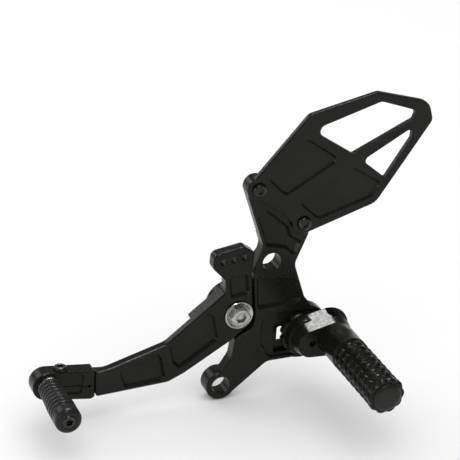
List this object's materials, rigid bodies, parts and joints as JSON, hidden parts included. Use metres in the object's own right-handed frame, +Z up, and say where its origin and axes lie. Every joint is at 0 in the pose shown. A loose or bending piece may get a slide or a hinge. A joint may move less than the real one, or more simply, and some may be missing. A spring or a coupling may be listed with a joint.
{
  "type": "rearset foot peg assembly",
  "caption": "Left-hand motorcycle rearset: machined bracket plate, open heel guard, knurled foot peg on an indexed mount, and a hinged gear lever with a toe peg.",
  "frame": {"origin": "centre of the upper frame hole, on the inboard face that seats on the motorcycle frame", "axes": "+X towards the rear of the motorcycle, +Z up, -Y outboard towards the rider's foot"},
  "size_m": [0.2844, 0.1339, 0.226],
  "materials": {
    "black_anodised": "satin black anodised",
    "grey_anodised": "satin dark grey anodised",
    "bright_steel": "polished",
    "dark_steel": "black oxide",
    "bronze": "machined"
  },
  "bodies": {
    "bracket": {"base_plate": "black_anodised", "heel_guard": "black_anodised", "guard_screw_upper": "dark_steel", "guard_screw_lower": "dark_steel", "pivot_bolt": "bright_steel", "pivot_nut": "bright_steel", "thrust_washer": "bright_steel"},
    "peg_mount": {"peg_mount": "black_anodised", "peg_clamp_bolt": "dark_steel", "peg_clamp_washer": "bright_steel", "peg_lock_screw": "dark_steel", "peg_bolt": "dark_steel", "foot_peg": "black_anodised", "peg_end_cap": "grey_anodised"},
    "shift_lever": {"shift_lever": "black_anodised", "pivot_bush": "bronze", "toe_block": "black_anodised", "lap_screw_1": "dark_steel", "lap_screw_2": "dark_steel", "toe_clamp_screw": "dark_steel"},
    "toe_stud": {"toe_stud": "bright_steel", "toe_end_screw": "dark_steel"},
    "toe_sleeve": {"toe_sleeve": "grey_anodised"}
  },
  "joints": [
    {"name": "peg_index", "type": "hinge", "parent": "bracket", "child": "peg_mount", "pos_m": [0.027, -0.01, -0.0595], "axis": [0, 1, 0], "range_deg": [-180, 180]},
    {"name": "lever_pivot", "type": "hinge", "parent": "bracket", "child": "shift_lever", "pos_m": [-0.023, -0.006, -0.038], "axis": [0, 1, 0], "range_deg": [-5, 2.5]},
    {"name": "toe_stud_slide", "type": "slide", "parent": "shift_lever", "child": "toe_stud", "axis": [0, -1, 0], "range_m": [0, 0.006]},
    {"name": "toe_sleeve_spin", "type": "hinge", "parent": "toe_stud", "child": "toe_sleeve", "pos_m": [-0.1602, -0.035, -0.0738], "axis": [0, -1, 0], "continuous": true}
  ]
}
